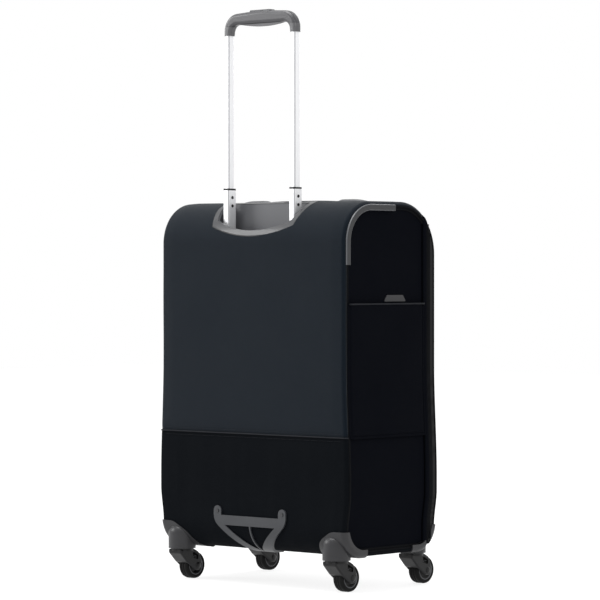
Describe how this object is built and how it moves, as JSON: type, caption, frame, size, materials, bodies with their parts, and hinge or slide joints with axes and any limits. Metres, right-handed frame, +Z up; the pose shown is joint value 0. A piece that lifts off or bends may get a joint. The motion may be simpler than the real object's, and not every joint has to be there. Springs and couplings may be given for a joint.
{
  "type": "suitcase",
  "caption": "Softside upright suitcase with a telescopic handle drawn out, swivelling casters, moulded trim and a hinged zipped lid.",
  "frame": {"origin": "centre of the case's footprint on the floor, under the wheels", "axes": "+Z up, +Y towards the handle side, -Y towards the lid, -X towards the lid hinge"},
  "size_m": [0.4349, 0.2715, 0.9916],
  "materials": {
    "woven_navy": "coarse woven polyester",
    "black_fabric": "matte woven polyester",
    "piping": "satin piping",
    "zip_tape": "zip coil and tape",
    "lining": "smooth lining on board",
    "strap": "webbing",
    "grey_plastic": "fine grained moulding",
    "housing_plastic": "fine grained moulding",
    "black_plastic": "satin moulding",
    "grip_plastic": "satin moulding",
    "grip_insert": "soft touch moulding",
    "aluminium": "brushed anodised",
    "steel": "drawn wire",
    "screw": "blackened",
    "zip_metal": "dark enamel",
    "wheel_rubber": "matte tread"
  },
  "bodies": {
    "case": {"upper_wrap": "woven_navy", "lower_wrap": "black_fabric", "side_panel_left": "black_fabric", "side_panel_right": "black_fabric", "edge_piping": "piping", "front_rim": "black_fabric", "zip_tape_case": "zip_tape", "side_pocket": "black_fabric", "side_pocket_tab": "grey_plastic", "back_board": "lining", "base_board": "lining", "corner_bumpers": "grey_plastic", "rear_bracket": "grey_plastic", "bracket_screws": "screw", "housing_screws": "screw", "handle_bezel": "grey_plastic", "fixed_tubes": "aluminium", "tube_bushes": "black_plastic", "tube_feet": "black_plastic", "top_handle_mounts": "black_plastic", "side_handle_mounts": "black_plastic", "housing_rear_left": "housing_plastic", "housing_rear_right": "housing_plastic", "housing_front_left": "housing_plastic", "housing_front_right": "housing_plastic"},
    "handle_middle": {"middle_tubes": "aluminium", "middle_bushes": "black_plastic", "tube_rivets": "black_plastic"},
    "handle_inner": {"inner_tubes": "aluminium", "guide_blocks": "black_plastic", "grip_shell": "grip_plastic", "grip_insert": "grip_insert", "button_spring": "steel"},
    "button": {"release_button": "grip_plastic"},
    "lid": {"lid_panel": "black_fabric", "lid_guards": "housing_plastic", "zip_tape_lid": "zip_tape", "lower_pocket": "woven_navy", "upper_pocket": "woven_navy", "upper_pocket_zip": "zip_tape", "lower_pocket_zip": "zip_tape"},
    "carry_top": {"top_handle": "strap"},
    "carry_side": {"side_handle": "strap"},
    "zip_slider_upper": {"main_slider_upper": "zip_metal"},
    "zip_pull_upper": {"main_pull_upper": "zip_metal"},
    "pocket_slider_upper": {"upper_pocket_slider": "zip_metal"},
    "pocket_pull_upper": {"upper_pocket_pull": "zip_metal"},
    "zip_slider_lower": {"main_slider_lower": "zip_metal"},
    "zip_pull_lower": {"main_pull_lower": "zip_metal"},
    "pocket_slider_lower": {"lower_pocket_slider": "zip_metal"},
    "pocket_pull_lower": {"lower_pocket_pull": "zip_metal"},
    "caster_rear_left": {"fork_rear_left": "black_plastic"},
    "caster_wheel_rear_left": {"wheel_rear_left": "wheel_rubber"},
    "caster_rear_right": {"fork_rear_right": "black_plastic"},
    "caster_wheel_rear_right": {"wheel_rear_right": "wheel_rubber"},
    "caster_front_left": {"fork_front_left": "black_plastic"},
    "caster_wheel_front_left": {"wheel_front_left": "wheel_rubber"},
    "caster_front_right": {"fork_front_right": "black_plastic"},
    "caster_wheel_front_right": {"wheel_front_right": "wheel_rubber"}
  },
  "joints": [
    {"name": "handle_lower_slide", "type": "slide", "parent": "case", "child": "handle_middle", "axis": [0, 0, 1], "range_m": [-0.0745, 0]},
    {"name": "handle_upper_slide", "type": "slide", "parent": "handle_middle", "child": "handle_inner", "axis": [0, 0, 1], "range_m": [-0.2645, 0]},
    {"name": "button_press", "type": "slide", "parent": "handle_inner", "child": "button", "axis": [0, 0, -1], "range_m": [0, 0.004], "stiffness_N_per_m": 400, "deforming": ["button_spring"]},
    {"name": "lid_hinge", "type": "hinge", "parent": "case", "child": "lid", "pos_m": [-0.2135, -0.093, 0.36], "axis": [0, 0, -1], "range_deg": [0, 155]},
    {"name": "top_handle_lift", "type": "slide", "parent": "case", "child": "carry_top", "axis": [0, 0, 1], "range_m": [0, 0.03]},
    {"name": "side_handle_lift", "type": "slide", "parent": "case", "child": "carry_side", "axis": [1, 0, 0], "range_m": [0, 0.03]},
    {"name": "zip_slide_upper", "type": "slide", "parent": "case", "child": "zip_slider_upper", "axis": [0, 0, 1], "range_m": [0, 0.12]},
    {"name": "zip_slide_lower", "type": "slide", "parent": "case", "child": "zip_slider_lower", "axis": [0, 0, -1], "range_m": [0, 0.31]},
    {"name": "pocket_slide_upper", "type": "slide", "parent": "lid", "child": "pocket_slider_upper", "axis": [-1, 0, 0], "range_m": [0, 0.31]},
    {"name": "pocket_slide_lower", "type": "slide", "parent": "lid", "child": "pocket_slider_lower", "axis": [-1, 0, 0], "range_m": [0, 0.345]},
    {"name": "zip_pull_swing_upper", "type": "hinge", "parent": "zip_slider_upper", "child": "zip_pull_upper", "pos_m": [0.2196, -0.093, 0.479], "axis": [0, -1, 0], "range_deg": [0, 150]},
    {"name": "zip_pull_swing_lower", "type": "hinge", "parent": "zip_slider_lower", "child": "zip_pull_lower", "pos_m": [0.2196, -0.093, 0.445], "axis": [0, -1, 0], "range_deg": [0, 150]},
    {"name": "pocket_pull_swing_upper", "type": "hinge", "parent": "pocket_slider_upper", "child": "pocket_pull_upper", "pos_m": [0.1615, -0.1316, 0.5535], "axis": [-1, 0, 0], "range_deg": [0, 150]},
    {"name": "pocket_pull_swing_lower", "type": "hinge", "parent": "pocket_slider_lower", "child": "pocket_pull_lower", "pos_m": [0.1745, -0.1226, 0.4385], "axis": [-1, 0, 0], "range_deg": [0, 150]},
    {"name": "swivel_rear_left", "type": "hinge", "parent": "case", "child": "caster_rear_left", "pos_m": [0.18, 0.11, 0.055], "axis": [0, 0, 1], "continuous": true},
    {"name": "roll_rear_left", "type": "hinge", "parent": "caster_rear_left", "child": "caster_wheel_rear_left", "pos_m": [0.18, 0.085, 0.0235], "axis": [1, 0, 0], "continuous": true},
    {"name": "swivel_rear_right", "type": "hinge", "parent": "case", "child": "caster_rear_right", "pos_m": [-0.18, 0.11, 0.055], "axis": [0, 0, 1], "continuous": true},
    {"name": "roll_rear_right", "type": "hinge", "parent": "caster_rear_right", "child": "caster_wheel_rear_right", "pos_m": [-0.18, 0.085, 0.0235], "axis": [1, 0, 0], "continuous": true},
    {"name": "swivel_front_left", "type": "hinge", "parent": "case", "child": "caster_front_left", "pos_m": [0.18, -0.089, 0.055], "axis": [0, 0, 1], "continuous": true},
    {"name": "roll_front_left", "type": "hinge", "parent": "caster_front_left", "child": "caster_wheel_front_left", "pos_m": [0.18, -0.114, 0.0235], "axis": [1, 0, 0], "continuous": true},
    {"name": "swivel_front_right", "type": "hinge", "parent": "case", "child": "caster_front_right", "pos_m": [-0.18, -0.089, 0.055], "axis": [0, 0, 1], "continuous": true},
    {"name": "roll_front_right", "type": "hinge", "parent": "caster_front_right", "child": "caster_wheel_front_right", "pos_m": [-0.18, -0.114, 0.0235], "axis": [1, 0, 0], "continuous": true}
  ]
}
